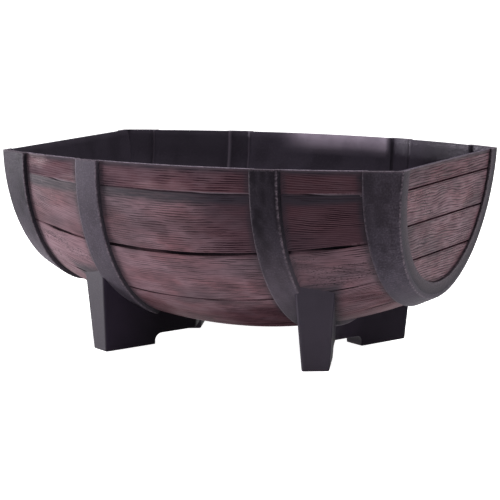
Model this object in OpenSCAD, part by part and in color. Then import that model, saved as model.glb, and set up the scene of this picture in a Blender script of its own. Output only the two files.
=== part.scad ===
// Barrel planter: a half barrel lying on two splayed leg frames, open at the top.
// X runs along the barrel, Z is up, and the feet stand on Z = 0.
// The staves, hoops and inside walls are all turned about one lengthwise axis, just below the rim.

/* [Barrel] */
// Length of the barrel at the rim
length = 500; // [460:5:540]
// Height of the belly's lowest line above the ground
ground_gap = 24; // [22:0.5:30]
// Outside radius of the staves at the middle of the barrel
mid_radius = 197; // [190:0.5:202]
// Outside radius of the staves at the ends of the barrel
end_radius = 134.5; // [126:0.5:142]
// Distance from the rim down to the axis of the barrel
axis_drop = 8; // [2:0.5:14]
// Lean of the end faces, inwards towards the ground, in degrees
end_lean = 6; // [2:0.5:9]
// Wall thickness of the moulded tub
wall = 3.5; // [2.5:0.1:4.5]

/* [Staves] */
// Angle from the axis level down to the first stave groove
first_groove = 6; // [4:0.5:9]
// Angle between two stave grooves
stave_pitch = 21.4; // [19:0.1:22]
// Number of stave grooves on each side of the bottom groove
side_grooves = 4; // [3:1:4]
// Width of a stave groove
groove_w = 2.4; // [1.4:0.1:3.5]
// Depth of a stave groove
groove_d = 1.4; // [0.8:0.1:2]

/* [Heads] */
// Depth of the head behind the end face of the barrel
head_recess = 3; // [2.5:0.1:5]
// Thickness of the head panels
head_t = 4; // [3:0.1:6]
// Depth of the ledge that stops the head, below the outside of the staves
chime_lip = 11; // [9:0.1:13]
// Distance from the rim down to the first plank groove of a head
first_plank = 23; // [20:0.5:32]
// Height of a head plank
plank_pitch = 40.5; // [36:0.5:44]
// Number of plank grooves in a head
plank_grooves = 3; // [2:1:3]

/* [Hoops] */
// Height of a hoop above the staves
hoop_h = 5; // [4:0.1:6.5]
// Thickness of a hoop over its land on the tub
hoop_t = 2; // [1.5:0.1:2.5]
// Distance from the middle of the barrel to the centre of an inner hoop
inner_hoop_at = 109; // [100:0.5:118]
// Width of an inner hoop at its foot
inner_hoop_w = 34; // [30:0.5:40]
// Width of an end hoop at the rim
end_hoop_w = 42; // [36:0.5:48]
// Width that a hoop loses on each side from its foot to its top
hoop_slope = 2; // [1:0.1:2.5]
// Width of a hoop's side wall at its foot
hoop_side = 3.5; // [3:0.1:4.5]

/* [Leg frames] */
// Distance from the middle of the barrel to the apex of a leg frame
apex_x = 91; // [84:0.5:98]
// Angle that each arm of a leg frame is splayed from straight across
arm_angle = 21.6; // [17:0.1:25]
// Thickness of an arm at the ground
arm_w = 30.4; // [26:0.2:34]
// Distance along the arm from the apex to the outer face of the leg
leg_out = 124.6; // [118:0.2:130]
// Distance along the arm from the apex to the inner end of the foot
foot_in = 52; // [48:0.5:62]
// Turn of the outer face of the leg from square across the arm
face_turn = 8.5; // [0:0.5:12]
// Draft of the side of an arm that faces the middle of the barrel
inner_draft = 4.4; // [2:0.1:5]
// Draft of the side of an arm that faces the end of the barrel
outer_draft = 4; // [1:0.1:6]
// Draft of the outer face of a leg
face_draft = 5; // [1:0.1:7]
// Height of the bridge between the two feet of a frame
bridge_h = 12.5; // [10:0.5:14]
// Radius of the corner between a foot and the bridge
bridge_r = 8; // [5:0.5:9]
// Corner radius of the legs
leg_r = 3.4; // [3.2:0.1:5]
// Wall thickness of the leg frames
leg_wall = 3; // [2:0.1:3.4]
// Corner radius of the spaces inside the leg frames
hollow_r = 2; // [1.5:0.1:3]
// Height of the chamfer round the bottom of a foot
foot_chamfer = 1.2; // [0.5:0.1:2]

/* [Fastenings] */
// Distance along the arm from the apex to the frame screw
screw_at = 44; // [41:0.5:47]
// Shank diameter of the frame screws
screw_d = 5; // [4:0.1:5.5]
// Length of a frame screw under its head
screw_l = 26; // [23:0.5:29]
// Head diameter of the frame screws
screw_head_d = 10.5; // [9:0.1:11.5]
// Head height of the frame screws
screw_head_h = 3.4; // [2.8:0.1:4]
// Diameter of the recess in a screw head
drive_d = 4.6; // [4:0.1:5.2]
// Depth of the recess in a screw head
drive_depth = 1.8; // [1.2:0.1:2.2]
// Diameter of the sealing washers
washer_d = 15; // [13:0.5:16]
// Thickness of the sealing washers
washer_t = 1.6; // [1:0.1:2]
// Diameter of the pads inside the tub and of the bosses inside the frames
boss_d = 17; // [16.5:0.5:18]
// Height of a pad above the wall that it stands on
pad_rise = 4.2; // [4:0.1:6]
// Radial clearance of a screw in the tub, a hoop or a washer
screw_gap = 0.3; // [0.2:0.05:0.5]
// How much narrower than a screw its hole in a boss is, for the thread to bite
thread_bite = 0.4; // [0.2:0.05:0.6]

/* [Drain] */
// Diameter of the drain hole
drain_d = 20; // [16:0.5:24]
// Diameter of the drain plug's flange
flange_d = 30; // [27:0.5:33]
// Thickness of the drain plug's flange
flange_t = 2.4; // [1.8:0.1:3]
// Height of the flat seat round the drain hole above the wall
seat_rise = 1.6; // [1.4:0.1:2.5]
// Width of the seat beyond the plug's flange
seat_margin = 3; // [2:0.5:4]
// Wall thickness of the hollow plug
plug_wall = 2; // [1.6:0.1:3]
// Width of the plug's grip
grip_w = 4; // [3:0.5:6]
// Height of the plug's grip above the flange
grip_h = 9; // [7:0.5:12]
// Radial clearance of the plug in its hole
plug_gap = 0.35; // [0.3:0.05:0.6]

/* [Hidden] */
$fn = 96;
charcoal = "#37363b";
black = "#242226";
wood = "#6d5158";
steel = "#b4b5b8";
rubber = "#1d1d1f";
// Cutting blocks run past what they cut by this much
over = 2;
big = 3 * length;
axis_z = ground_gap + mid_radius;
rim_height = axis_z + axis_drop;
half = length / 2;
rise = mid_radius - end_radius;
bulge_r = (half * half + rise * rise) / (2 * rise);
land_h = hoop_h - hoop_t;
end_hoop_in = half - end_hoop_w;
channel_lip = 1;
screw_y = screw_at * cos(arm_angle);
screw_x = apex_x + screw_at * sin(arm_angle);
// Outside radius of the staves at a place along the barrel
function stave_r(x) = mid_radius - bulge_r + sqrt(bulge_r * bulge_r - x * x);
// Height of a turned surface, so far outside the staves, straight above a place on the ground
function skin_z(x, y, off) = axis_z - sqrt(pow(stave_r(x) + off, 2) - y * y);
pad_top = skin_z(screw_x, screw_y, land_h - wall) + pad_rise;
seat_top = skin_z(0, 0, -wall) + seat_rise;

// Half section of the solid barrel, so far outside the staves: radius across, length up
module bulge_2d(off) {
    intersection() {
        translate([mid_radius - bulge_r, 0]) circle(r = bulge_r + off, $fn = 360);
        translate([0, -half - over]) square([mid_radius + off + over, length + 2 * over]);
    }
}

// The same section, only between two places along the barrel
module band_2d(off, from, to) {
    intersection() {
        bulge_2d(off);
        translate([0, from]) square([mid_radius + off + over, to - from]);
    }
}

// Turns a half section about the axis of the barrel
module turned() {
    translate([0, 0, axis_z]) rotate([0, 90, 0]) rotate_extrude($fn = 180) children();
}

// What lies past the right end face, or between two depths behind it
module end_slab(from, to) {
    translate([half, 0, rim_height]) rotate([0, end_lean, 0])
        translate([-to, -big / 2, -big]) cube([to - from, big, big + mid_radius]);
}

// Trims a turned piece at the rim and at both end faces
module trimmed() {
    difference() {
        children();
        translate([-big / 2, -big / 2, rim_height]) cube([big, big, big]);
        end_slab(-big, 0);
        mirror([1, 0, 0]) end_slab(-big, 0);
    }
}

// Sections of the lands that carry the hoops, and of the channels behind them
module lands_2d(off, inset) {
    half_w = inner_hoop_w / 2 - inset;
    for (side = [-1, 1])
        band_2d(off, side * inner_hoop_at - half_w, side * inner_hoop_at + half_w);
    band_2d(off, end_hoop_in + inset, half + over);
    band_2d(off, -half - over, -end_hoop_in - inset);
}

module shell_2d() {
    difference() {
        union() {
            bulge_2d(0);
            lands_2d(land_h, hoop_side);
        }
        bulge_2d(-wall);
        lands_2d(land_h - wall, hoop_side + channel_lip);
    }
}

// Ledge inside the end of the barrel, against which a head is seated
module chime() {
    intersection() {
        turned() difference() {
            band_2d(land_h, end_hoop_in + hoop_side + channel_lip, half + over);
            bulge_2d(-chime_lip);
        }
        end_slab(0, head_recess);
    }
}

// Cuts of the stave grooves, each a thin turned sector that follows the bulge
module stave_grooves() {
    side_angles = [for (i = [0 : side_grooves - 1]) first_groove + i * stave_pitch];
    angles = concat(side_angles, [90], [for (a = side_angles) 180 - a]);
    turn = 2 * asin(groove_w / 2 / mid_radius);
    for (a = angles)
        translate([0, 0, axis_z]) rotate([a - 90, 0, 0]) rotate([0, 90, 0]) rotate([0, 0, -turn / 2])
            rotate_extrude(angle = turn, $fn = 180) difference() {
                bulge_2d(over / 2);
                bulge_2d(-groove_d);
                translate([0, -inner_hoop_at]) hoop_gap_2d();
                translate([0, inner_hoop_at]) hoop_gap_2d();
                translate([0, end_hoop_in + hoop_side]) square([big, big]);
                mirror([0, 1]) translate([0, end_hoop_in + hoop_side]) square([big, big]);
            }
}

// The stretch of an inner hoop's land, which the stave grooves leave whole
module hoop_gap_2d() {
    half_w = inner_hoop_w / 2 - hoop_side;
    translate([0, -half_w]) square([big, 2 * half_w]);
}

module at_screws() {
    for (side_x = [-1, 1], side_y = [-1, 1])
        translate([side_x * screw_x, side_y * screw_y, 0]) children();
}

// Moulded tub: the staves, the hoop lands and the chimes, with its pads and drain seat
module tub() {
    color(wood) difference() {
        union() {
            trimmed() union() {
                turned() shell_2d();
                chime();
                mirror([1, 0, 0]) chime();
            }
            intersection() {
                union() {
                    at_screws() cylinder(d = boss_d, h = pad_top);
                    cylinder(d = flange_d + 2 * seat_margin, h = seat_top);
                }
                turned() union() {
                    bulge_2d(-wall / 2);
                    lands_2d(land_h - wall / 2, hoop_side);
                }
            }
        }
        stave_grooves();
        at_screws() cylinder(d = screw_d + 2 * screw_gap, h = axis_z);
        cylinder(d = drain_d, h = axis_z);
    }
}

// Planked panel that closes the right end, seated from inside against the chime ledge
module head() {
    difference() {
        intersection() {
            turned() band_2d(land_h - wall, end_hoop_in + hoop_side + channel_lip, half);
            end_slab(head_recess, head_recess + head_t);
            translate([0, -big / 2, 0]) cube([big, big, rim_height]);
        }
        translate([half, 0, rim_height]) rotate([0, end_lean, 0])
            for (i = [0 : plank_grooves - 1])
                translate([-head_recess - groove_d, -big / 2, -first_plank - i * plank_pitch])
                    translate([0, 0, -groove_w / 2]) cube([over + groove_d, big, groove_w]);
    }
}
module right_head() {
    color(wood) head();
}
module left_head() {
    color(wood) mirror([1, 0, 0]) head();
}

// Outline of a hoop with sloped sides, run down into the staves; an open outer side is upright
module hoop_outline_2d(from, to, open_end) {
    in_r = stave_r(from);
    out_r = stave_r(to);
    rise_up = hoop_h + over;
    in_lean = hoop_slope / hoop_h;
    out_lean = open_end ? 0 : in_lean;
    intersection() {
        bulge_2d(hoop_h);
        polygon([[in_r - over, from - over * in_lean], [in_r + rise_up, from + rise_up * in_lean],
                 [out_r + rise_up, to - rise_up * out_lean], [out_r - over, to + over * out_lean]]);
    }
}

module inner_hoop_outline_2d() {
    half_w = inner_hoop_w / 2;
    hoop_outline_2d(inner_hoop_at - half_w, inner_hoop_at + half_w, false);
}

// Inner hoop of the right half: a channel that straddles its land on the tub
module inner_hoop() {
    difference() {
        trimmed() turned() difference() {
            inner_hoop_outline_2d();
            bulge_2d(0);
            lands_2d(land_h, hoop_side);
        }
        at_screws() cylinder(d = screw_d + 2 * screw_gap, h = axis_z);
    }
}

// End hoop of the right half, flush with the leaning end face
module end_hoop() {
    trimmed() turned() difference() {
        hoop_outline_2d(end_hoop_in, half + 2 * over, true);
        bulge_2d(0);
        lands_2d(land_h, hoop_side);
    }
}
module left_end_hoop() {
    color(charcoal) mirror([1, 0, 0]) end_hoop();
}
module left_inner_hoop() {
    color(charcoal) mirror([1, 0, 0]) inner_hoop();
}
module right_inner_hoop() {
    color(charcoal) inner_hoop();
}
module right_end_hoop() {
    color(charcoal) end_hoop();
}

// Plan place of a corner post of an arm at height z, set in from the faces by a distance.
// side is -1 towards the middle of the barrel and 1 towards its end.
function side_off(side, z, inset) =
    side * (arm_w / 2 + z * tan(side < 0 ? inner_draft : outer_draft) - inset);
function on_arm(along, across) =
    [apex_x + along * sin(arm_angle) + across * cos(arm_angle),
     along * cos(arm_angle) - across * sin(arm_angle)];
function outer_post(side, z, inset) =
    let (across = side_off(side, z, inset))
    on_arm(leg_out + z * tan(face_draft) - inset - across * tan(face_turn), across);
function foot_post(side, z, inset) =
    let (across = side_off(side, z, inset))
    on_arm(foot_in + inset - across * tan(face_turn), across);
function apex_post(side, z, inset) =
    [apex_x + side_off(side, z, inset) / cos(arm_angle), 0];

// Foot of a post, chamfered at the ground
module post_foot(place) {
    translate([place[0], place[1], 0])
        cylinder(r1 = leg_r - foot_chamfer, r2 = leg_r, h = foot_chamfer, $fn = 32);
}

// Stretch of a post of radius r from height z up
module post_part(place, z, r) {
    translate([place[0], place[1], z]) cylinder(r = r, h = leg_wall, $fn = 32);
}

// Back arm from the apex to the outer face, up into the barrel
module arm() {
    hull() for (side = [-1, 1]) {
        post_foot(outer_post(side, 0, leg_r));
        post_part(outer_post(side, axis_z, leg_r), axis_z, leg_r);
        post_foot(apex_post(side, 0, leg_r));
        post_part(apex_post(side, axis_z, leg_r), axis_z, leg_r);
    }
}

// Space inside the leg, open towards the barrel
module leg_hollow() {
    inset = leg_wall + hollow_r;
    hull() for (side = [-1, 1], z = [leg_wall, axis_z]) {
        post_part(outer_post(side, z, inset), z, hollow_r);
        post_part(foot_post(side, z, inset), z, hollow_r);
    }
}

// Space inside the bridge, open towards the barrel
module bridge_hollow() {
    inset = leg_wall + hollow_r;
    hull() for (side = [-1, 1], z = [bridge_h + leg_wall, axis_z]) {
        post_part(outer_post(side, z, inset), z, hollow_r);
        post_part(apex_post(side, z, inset), z, hollow_r);
    }
}

// Arch under the bridge, up to the inner end of the back foot
module arch() {
    place = on_arm(foot_in, 0);
    translate([place[0], place[1], 0]) rotate([0, 0, 180 - arm_angle - face_turn])
        rotate([90, 0, 90]) translate([0, 0, -big / 2]) linear_extrude(big) union() {
            translate([0, -over]) square([foot_in * 3, bridge_h - bridge_r + over]);
            translate([bridge_r, -over]) square([foot_in * 3, bridge_h + over]);
            translate([bridge_r, bridge_h - bridge_r]) circle(bridge_r);
        }
}

// Right leg frame: two hollow splayed legs joined by a bridge, cut to the barrel and its hoop
module leg_frame() {
    difference() {
        union() {
            difference() {
                for (side = [0, 1]) mirror([0, side, 0]) arm();
                intersection() {
                    arch();
                    mirror([0, 1, 0]) arch();
                }
                for (side = [0, 1]) mirror([0, side, 0]) {
                    leg_hollow();
                    bridge_hollow();
                }
            }
            for (side = [-1, 1])
                translate([screw_x, side * screw_y, bridge_h]) cylinder(d = boss_d, h = axis_z / 2);
        }
        turned() union() {
            bulge_2d(0);
            inner_hoop_outline_2d();
        }
        for (side = [-1, 1])
            translate([screw_x, side * screw_y, bridge_h + leg_wall])
                cylinder(d = screw_d - thread_bite, h = axis_z);
    }
}
module right_leg_frame() {
    color(charcoal) leg_frame();
}
module left_leg_frame() {
    color(charcoal) mirror([1, 0, 0]) leg_frame();
}

// Pan head screws, put in from inside the tub
module frame_screws() {
    color(steel) at_screws() translate([0, 0, pad_top + washer_t]) difference() {
        union() {
            cylinder(d = screw_head_d, h = screw_head_h);
            translate([0, 0, -screw_l]) cylinder(d = screw_d, h = screw_l + screw_head_h / 2);
        }
        translate([0, 0, screw_head_h - drive_depth])
            cylinder(d = drive_d, h = drive_depth + over, $fn = 6);
    }
}

// Sealing washers between the screw heads and the pads
module frame_washers() {
    color(rubber) at_screws() translate([0, 0, pad_top]) difference() {
        cylinder(d = washer_d, h = washer_t);
        translate([0, 0, -over]) cylinder(d = screw_d + 2 * screw_gap, h = washer_t + 2 * over);
    }
}

// Hollow drain plug that lifts out of its hole from inside
module drain_plug() {
    plug_d = drain_d - 2 * plug_gap;
    plug_bottom = skin_z(0, 0, 0);
    color(black) difference() {
        union() {
            translate([0, 0, seat_top]) cylinder(d = flange_d, h = flange_t);
            translate([0, 0, plug_bottom]) cylinder(d = plug_d, h = seat_top + flange_t / 2 - plug_bottom);
            translate([0, 0, seat_top + flange_t / 2]) intersection() {
                translate([-grip_w / 2, -drain_d / 2, 0]) cube([grip_w, drain_d, grip_h + flange_t / 2]);
                cylinder(d = plug_d, h = grip_h + flange_t / 2);
            }
        }
        translate([0, 0, plug_bottom - over])
            cylinder(d = plug_d - 2 * plug_wall, h = seat_top - plug_bottom + over);
    }
}

tub();
left_head();
right_head();
left_end_hoop();
left_inner_hoop();
right_inner_hoop();
right_end_hoop();
left_leg_frame();
right_leg_frame();
frame_screws();
frame_washers();
drain_plug();
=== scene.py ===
from math import asin, cos, degrees, pi, radians, sin, sqrt, tan
import bmesh
import bpy
import numpy as np
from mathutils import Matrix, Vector


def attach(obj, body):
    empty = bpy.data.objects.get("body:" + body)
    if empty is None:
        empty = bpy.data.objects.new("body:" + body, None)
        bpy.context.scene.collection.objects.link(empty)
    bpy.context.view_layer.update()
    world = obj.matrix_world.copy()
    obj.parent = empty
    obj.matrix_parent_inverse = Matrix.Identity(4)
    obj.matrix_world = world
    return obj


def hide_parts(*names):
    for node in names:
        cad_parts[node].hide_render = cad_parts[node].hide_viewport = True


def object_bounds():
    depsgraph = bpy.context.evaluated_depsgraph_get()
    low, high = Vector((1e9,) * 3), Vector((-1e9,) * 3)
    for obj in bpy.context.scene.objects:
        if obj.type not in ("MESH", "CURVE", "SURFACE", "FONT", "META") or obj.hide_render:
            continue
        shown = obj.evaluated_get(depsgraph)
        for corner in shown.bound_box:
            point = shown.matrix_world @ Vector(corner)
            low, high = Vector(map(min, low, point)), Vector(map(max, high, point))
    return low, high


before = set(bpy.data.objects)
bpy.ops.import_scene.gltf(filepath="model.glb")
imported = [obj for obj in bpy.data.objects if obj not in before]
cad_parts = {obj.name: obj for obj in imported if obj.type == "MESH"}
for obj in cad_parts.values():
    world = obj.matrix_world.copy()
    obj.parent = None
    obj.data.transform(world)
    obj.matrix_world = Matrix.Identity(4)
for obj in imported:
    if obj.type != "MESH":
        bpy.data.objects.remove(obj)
cadLow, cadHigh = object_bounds()
print("frame loaded:", len(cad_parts), "nodes")

mm = 0.001   # sizes below are in millimetres, and the points are scaled when a mesh is made


def slope(angle):
    return tan(radians(angle))


barrel = {
    "midRadius": 197.0,   # outside of the staves
    "endRadius": 134.5,
    "axisDrop": 8.0,   # below the rim
    "lean": 6.0,   # of the end faces, degrees
    "wall": 3.5,
    "innerHoopAt": 109.0,
    "innerHoopWidth": 34.0,
    "endHoopFrom": 208.0,
    "endHoopTo": 216.0,   # past that hoop's sloped wall
    "hoopHeight": 5.0,
    "hoopSide": 3.5,   # width of a hoop's foot
    "landHeight": 2.95,   # raised land under a hoop
    "landGap": 0.05,   # between the land and its hoop
    "channelOff": -0.5,   # inside wall behind a hoop
    "stepRise": 0.7,   # small step beside a channel and on the ledge
    "chimeOff": -11.0,   # ledge that stops a head
    "headDepth": 3.0,   # behind the end face
    "rimRound": 0.6,
}
midRadius, hoopFrom = barrel["midRadius"], barrel["endHoopFrom"]
rimZ = cadHigh.z / mm
halfLength = cadHigh.x / mm
axisZ = rimZ - barrel["axisDrop"]
bulgeRise = midRadius - barrel["endRadius"]
bulgeRadius = (halfLength ** 2 + bulgeRise ** 2) / (2 * bulgeRise)
leanTan, leanCos = slope(barrel["lean"]), cos(radians(barrel["lean"]))
hoopIn = barrel["innerHoopAt"] - barrel["innerHoopWidth"] / 2
hoopOut = barrel["innerHoopAt"] + barrel["innerHoopWidth"] / 2
endCode = 1000.0   # a place along the barrel from here up is this plus a depth behind the end face
endGuess = 236.0   # where the search for such a place starts


def radiusAt(x, off):
    return midRadius - bulgeRadius + np.sqrt((bulgeRadius + off) ** 2 - x ** 2)


def endPlaneX(z, depth):
    return halfLength - depth / leanCos - (rimZ - z) * leanTan


def rimAngle(x, off, drop):   # angle below the axis level at which a turned surface meets the rim
    return -np.arcsin((rimZ - drop - axisZ) / radiusAt(x, off))


def degreesDown(angle):   # degrees below the axis level, on the nearer side
    return np.degrees(np.minimum(angle, np.pi - angle))


def turnedPoint(x, off, angle):
    r = radiusAt(x, off)
    return np.stack([x, -r * np.cos(angle), axisZ - r * np.sin(angle)], axis=-1)


def skinHeight(x, y, off):   # height of the barrel's skin over a place on the ground
    return axisZ - sqrt(float(radiusAt(x, off)) ** 2 - y * y)


# Seeded noise on a wrapped grid, from 0 to 1
def gridNoise(u, v, seed):
    table = np.random.default_rng(seed).random((256, 256))
    iu, iv = np.floor(u).astype(int), np.floor(v).astype(int)
    fu, fv = u - iu, v - iv
    fu, fv = fu * fu * (3 - 2 * fu), fv * fv * (3 - 2 * fv)
    ju, jv = (iu + 1) % 256, (iv + 1) % 256
    iu, iv = iu % 256, iv % 256
    near = table[iu, iv] * (1 - fu) + table[ju, iv] * fu
    far = table[iu, jv] * (1 - fu) + table[ju, jv] * fu
    return near * (1 - fv) + far * fv


def layeredNoise(u, v, seed, layers=3):
    total, weight = 0, 0
    for i in range(layers):
        size = 2 ** i
        total = total + gridNoise(u * size + 17.3 * i, v * size + 9.1 * i, seed + i) / size
        weight += 1 / size
    return total / weight


def ramp(value, low, high):
    t = np.clip((value - low) / (high - low), 0, 1)
    return t * t * (3 - 2 * t)


# Node helpers, for the tree of the newest material
tree = None


def setInput(node, key, value):
    socket = node.inputs[key]
    if isinstance(value, bpy.types.NodeSocket):
        tree.links.new(value, socket)
    else:
        socket.default_value = (*value, 1) if socket.type == "RGBA" else value


def addNode(kind, inputs, **settings):
    node = tree.nodes.new("ShaderNode" + kind)
    for key, value in settings.items():
        setattr(node, key, value)
    for key, value in inputs.items():
        setInput(node, key, value)
    return node


def mixColour(factor, a, b, blend="MIX"):
    return addNode("Mix", {0: factor, 6: a, 7: b}, data_type="RGBA", blend_type=blend).outputs[2]


def calc(operation, a, b=0.0):
    return addNode("Math", {0: a, 1: b}, operation=operation).outputs[0]


def times(a, b):
    return calc("MULTIPLY", a, b)


def between(value, low, high, toLow=0.0, toHigh=1.0):
    node = addNode("MapRange", {0: value, 1: low, 2: high, 3: toLow, 4: toHigh},
                   interpolation_type="SMOOTHSTEP")
    return node.outputs[0]


def objectPlace():
    return addNode("TexCoord", {}).outputs["Object"]


def noise(place, scale, detail=2.0):
    return addNode("TexNoise", {"Vector": place, "Scale": scale, "Detail": detail}).outputs["Fac"]


def carried(name, output="Fac"):   # a value that the mesh carries at its points
    return addNode("Attribute", {}, attribute_name=name).outputs[output]


def addBump(shader, height, strength, distance):
    skin = addNode("Bump", {"Height": height, "Strength": strength, "Distance": distance})
    setInput(shader, "Normal", skin.outputs[0])


def newMaterial(name, roughness, specular, sheen=(1.0, 1.0, 1.0)):
    global tree
    material = bpy.data.materials.new(name)
    material.use_nodes = True
    tree = material.node_tree
    tree.nodes.clear()
    shader = addNode("BsdfPrincipled",
                     {"Roughness": roughness, "Specular IOR Level": specular, "Specular Tint": sheen})
    output = addNode("OutputMaterial", {"Surface": shader.outputs[0]})
    output.location = (600, 0)
    return material, shader


# Moulded charcoal plastic: pebbled skin, pale specks and cloudy patches. The mesh carries painted shade,
# painted light (a paler sheen colour) and pale edges that are part wear and part painted highlight.
def charcoalMaterial(name, own):
    look = {**charcoal, **own}
    colour, wearAndHighlight = look["colour"], look["wearAndHighlight"]
    pale, dark = tuple(c * 1.8 + 0.006 for c in colour), tuple(c * 0.4 for c in colour)
    material, shader = newMaterial(name, look["roughness"], look["specular"], look["sheen"])
    place = objectPlace()
    fine, wide = noise(place, look["pebble"], 3.0), noise(place, look["cloudScale"], 4.0)
    dots = addNode("TexVoronoi", {"Vector": place, "Scale": look["pebble"] * 0.7}).outputs["Distance"]
    cloudy = mixColour(times(between(wide, 0.45, 0.7), look["clouds"]), colour, dark)
    grit = mixColour(between(fine, 0.5, 0.68, 0.0, look["grit"]), cloudy, pale)
    pitted = mixColour(between(fine, 0.46, 0.34, 0.0, look["grit"]), grit, dark)
    speck = times(between(dots, 0.3, 0.14), between(fine, 0.48, 0.62))
    speckled = mixColour(times(speck, look["specks"]), pitted, pale)
    # painted shade: the colour is darkened where the mesh's shade value is set
    shaded = mixColour(carried(look["shadeFrom"]), speckled, (look["shadow"],) * 3, "MULTIPLY")
    # painted light: a paler colour is laid where the mesh's painted light value is set
    paintedLightShare = times(carried("paintedLight"), between(wide, 0.3, 0.6, 0.6, 1.0))
    withPaintedLight = mixColour(paintedLightShare, shaded, look.get("paintedLight", wearAndHighlight))
    # pale edges: part wear, part painted highlight
    paleEdge = times(carried("edge"), between(fine, 0.38, 0.56, 0.25, 1.0))
    setInput(shader, "Base Color", mixColour(paleEdge, withPaintedLight, wearAndHighlight))
    rough = look["roughness"]
    setInput(shader, "Roughness", between(fine, 0.3, 0.7, rough - 0.08, rough + 0.1))
    addBump(shader, fine, look["bump"], 0.0006)
    return material


# Dry-brushed red-brown paint over the charcoal. The meshes carry where grain, grooves, bare patches, painted
# shade and painted light are, and "board" holds the place along the grain, the count of grain lines across
# it and the board's number.
def paintMaterial(name, colours, roughness):
    material, shader = newMaterial(name, roughness, 0.15, (1.0, 0.8, 0.85))
    board = carried("board", "Vector")

    def stretched(stretch, detail):
        place = addNode("Mapping", {"Vector": board, "Scale": stretch}).outputs[0]
        return noise(place, 1.0, detail)

    def cover(factor, under, colour):   # lays one of the colours over what is there
        return mixColour(factor, under, colours[colour])

    streak, mottle = stretched((45.0, 1.3, 7.0), 3.0), stretched((28.0, 0.11, 5.0), 4.0)
    fleck = stretched((330.0, 2.3, 3.0), 1.0)
    wobble = times(calc("SUBTRACT", stretched((120.0, 0.5, 9.0), 2.0), 0.5), colours["wobble"])
    across = addNode("SeparateXYZ", {0: board}).outputs[1]
    share = calc("FRACT", calc("ADD", across, wobble))
    fromLine = calc("ABSOLUTE", calc("SUBTRACT", share, colours["linePlace"]))
    grain = times(between(fromLine, 0.21, 0.09), carried("grain"))
    groove, shadeAndDarkPaint = carried("groove"), carried("shadeAndDarkPaint")
    paint = cover(carried("tone"), colours["grey"], "red")
    pale = cover(between(mottle, 0.46, 0.66, 0.0, 0.6), paint, "pale")
    light = cover(between(mottle, 0.5, 0.32, 0.0, 0.6), pale, "shadeAndDarkPaint")
    paintWithShade = cover(shadeAndDarkPaint, cover(carried("paleToneAndPaintedLight"), light, "pale"), "shadeAndDarkPaint")
    streaky = cover(between(streak, 0.55, 0.35, 0.0, 0.35), paintWithShade, "shadeAndDarkPaint")
    crest = cover(between(fromLine, 0.34, 0.5, 0.0, 0.25), streaky, "pale")
    scored = cover(times(grain, 0.92), crest, "line")
    marked = cover(times(between(fleck, 0.56, 0.64), carried("fleck")), scored, "line")
    patchy = times(between(streak, 0.3, 0.6, 1.15, 0.88), carried("bare"))
    bared = cover(calc("MINIMUM", patchy, 1.0), marked, "bare")
    cut = cover(groove, cover(times(grain, 0.45), bared, "line"), "cut")
    gloss = times(between(groove, 0.0, 0.5, 0.09, 0.0), between(shadeAndDarkPaint, 0.1, 0.6, 1.0, 0.0))
    setInput(shader, "Specular IOR Level", gloss)
    setInput(shader, "Base Color", cover(carried("edge"), cut, "wearAndHighlight"))
    setInput(shader, "Roughness", between(streak, 0.3, 0.7, roughness + 0.1, roughness - 0.08))
    addBump(shader, calc("ADD", times(streak, 0.5), times(grain, -1.0)), 0.5, 0.0004)
    return material


# Satin steel with fine marks and dull patches
def steelMaterial(name, colours):
    material, shader = newMaterial(name, 0.35, 0.5)
    shader.inputs["Metallic"].default_value = 1.0
    place = objectPlace()
    marks, stain = noise(place, 1500.0), noise(place, 160.0, 3.0)
    tint = mixColour(between(stain, 0.35, 0.65), colours["light"], colours["dull"])
    setInput(shader, "Base Color", tint)
    setInput(shader, "Roughness", between(marks, 0.3, 0.7, 0.4, 0.6))
    addBump(shader, marks, 0.15, 0.0002)
    return material


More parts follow.
